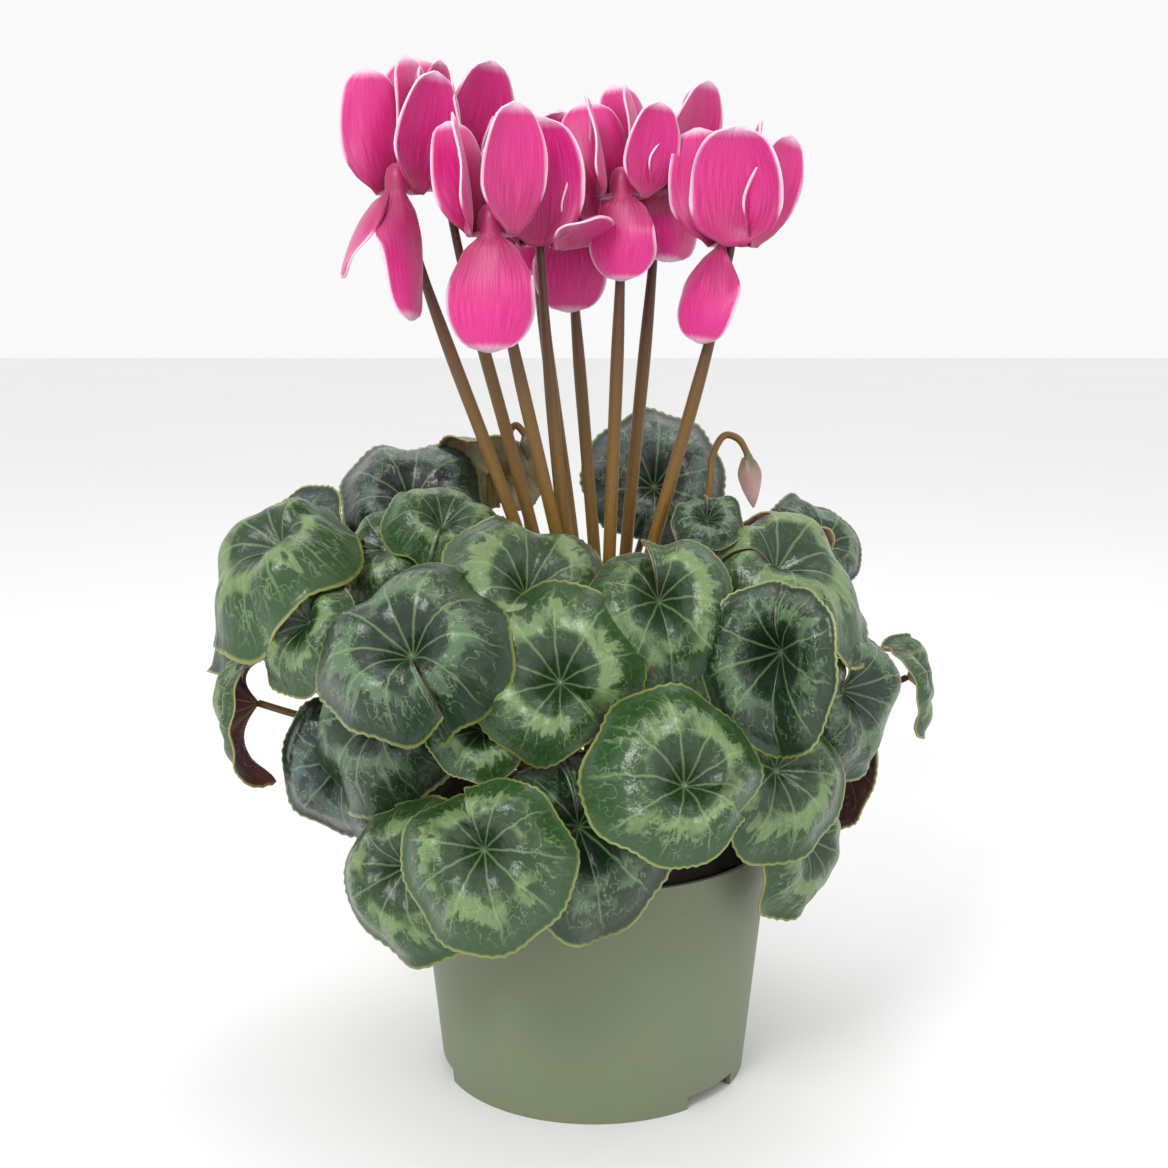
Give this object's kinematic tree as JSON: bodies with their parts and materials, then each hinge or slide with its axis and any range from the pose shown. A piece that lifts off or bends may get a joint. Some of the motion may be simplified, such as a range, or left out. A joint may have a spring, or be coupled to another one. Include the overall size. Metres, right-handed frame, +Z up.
{
  "type": "potted cyclamen",
  "caption": "Florist's cyclamen in a round nursery pot: a dome of marbled heart-shaped leaves under upright stalks with swept-back pink flowers.",
  "frame": {"origin": "on the surface that the pot stands on, under the centre of the whole plant's box; the pot's axis is 2 mm to the right of it and 3.5 mm behind it", "axes": "+Z up; -Y is the front, the side that the best leaves and flowers face; +X to the right as seen from the front"},
  "size_m": [0.2648, 0.2123, 0.3352],
  "materials": {
    "pot_plastic": "matte moulded sage green",
    "peat": "dark crumbly peat",
    "tuber_skin": "dull corky skin",
    "leaf": "waxy green with a silver-green marbled ring, pink or pale beneath",
    "flower_stalk": "smooth olive to red-brown",
    "petal": "satin magenta with fine veins and white margins",
    "bud": "smooth, pale pink tip on an olive calyx"
  },
  "bodies": {
    "root": {"bud_left": "bud", "bud_right": "bud", "flower_1_petals": "petal", "flower_1_stalk": "flower_stalk", "flower_2_petals": "petal", "flower_2_stalk": "flower_stalk", "flower_3_petals": "petal", "flower_3_stalk": "flower_stalk", "flower_4_petals": "petal", "flower_4_stalk": "flower_stalk", "flower_5_petals": "petal", "flower_5_stalk": "flower_stalk", "flower_6_petals": "petal", "flower_6_stalk": "flower_stalk", "flower_7_petals": "petal", "flower_7_stalk": "flower_stalk", "flower_8_petals": "petal", "flower_8_stalk": "flower_stalk", "flower_9_petals": "petal", "flower_9_stalk": "flower_stalk", "leaf_back_centre": "leaf", "leaf_back_left": "leaf", "leaf_back_point": "leaf", "leaf_centre": "leaf", "leaf_cup_high": "leaf", "leaf_cup_small": "leaf", "leaf_curl_left": "leaf", "leaf_curl_mid": "leaf", "leaf_dark_back": "leaf", "leaf_far_left": "leaf", "leaf_far_right": "leaf", "leaf_far_under": "leaf", "leaf_front": "leaf", "leaf_front_left": "leaf", "leaf_front_right": "leaf", "leaf_heart": "leaf", "leaf_left_big": "leaf", "leaf_left_droop": "leaf", "leaf_left_fold": "leaf", "leaf_left_rim": "leaf", "leaf_left_under": "leaf", "leaf_mid_shadow": "leaf", "leaf_pale_back": "leaf", "leaf_pink_back": "leaf", "leaf_rear_left": "leaf", "leaf_rear_mid_left": "leaf", "leaf_rear_mid_right": "leaf", "leaf_rear_right": "leaf", "leaf_red_hang": "leaf", "leaf_right_big": "leaf", "leaf_right_fold": "leaf", "leaf_right_glossy": "leaf", "leaf_right_tail": "leaf", "leaf_rim_shadow": "leaf", "leaf_spiral": "leaf", "leaf_under_spiral": "leaf", "leaf_upper_mid": "leaf", "pot": "pot_plastic", "soil": "peat", "tuber": "tuber_skin"}
  },
  "joints": []
}
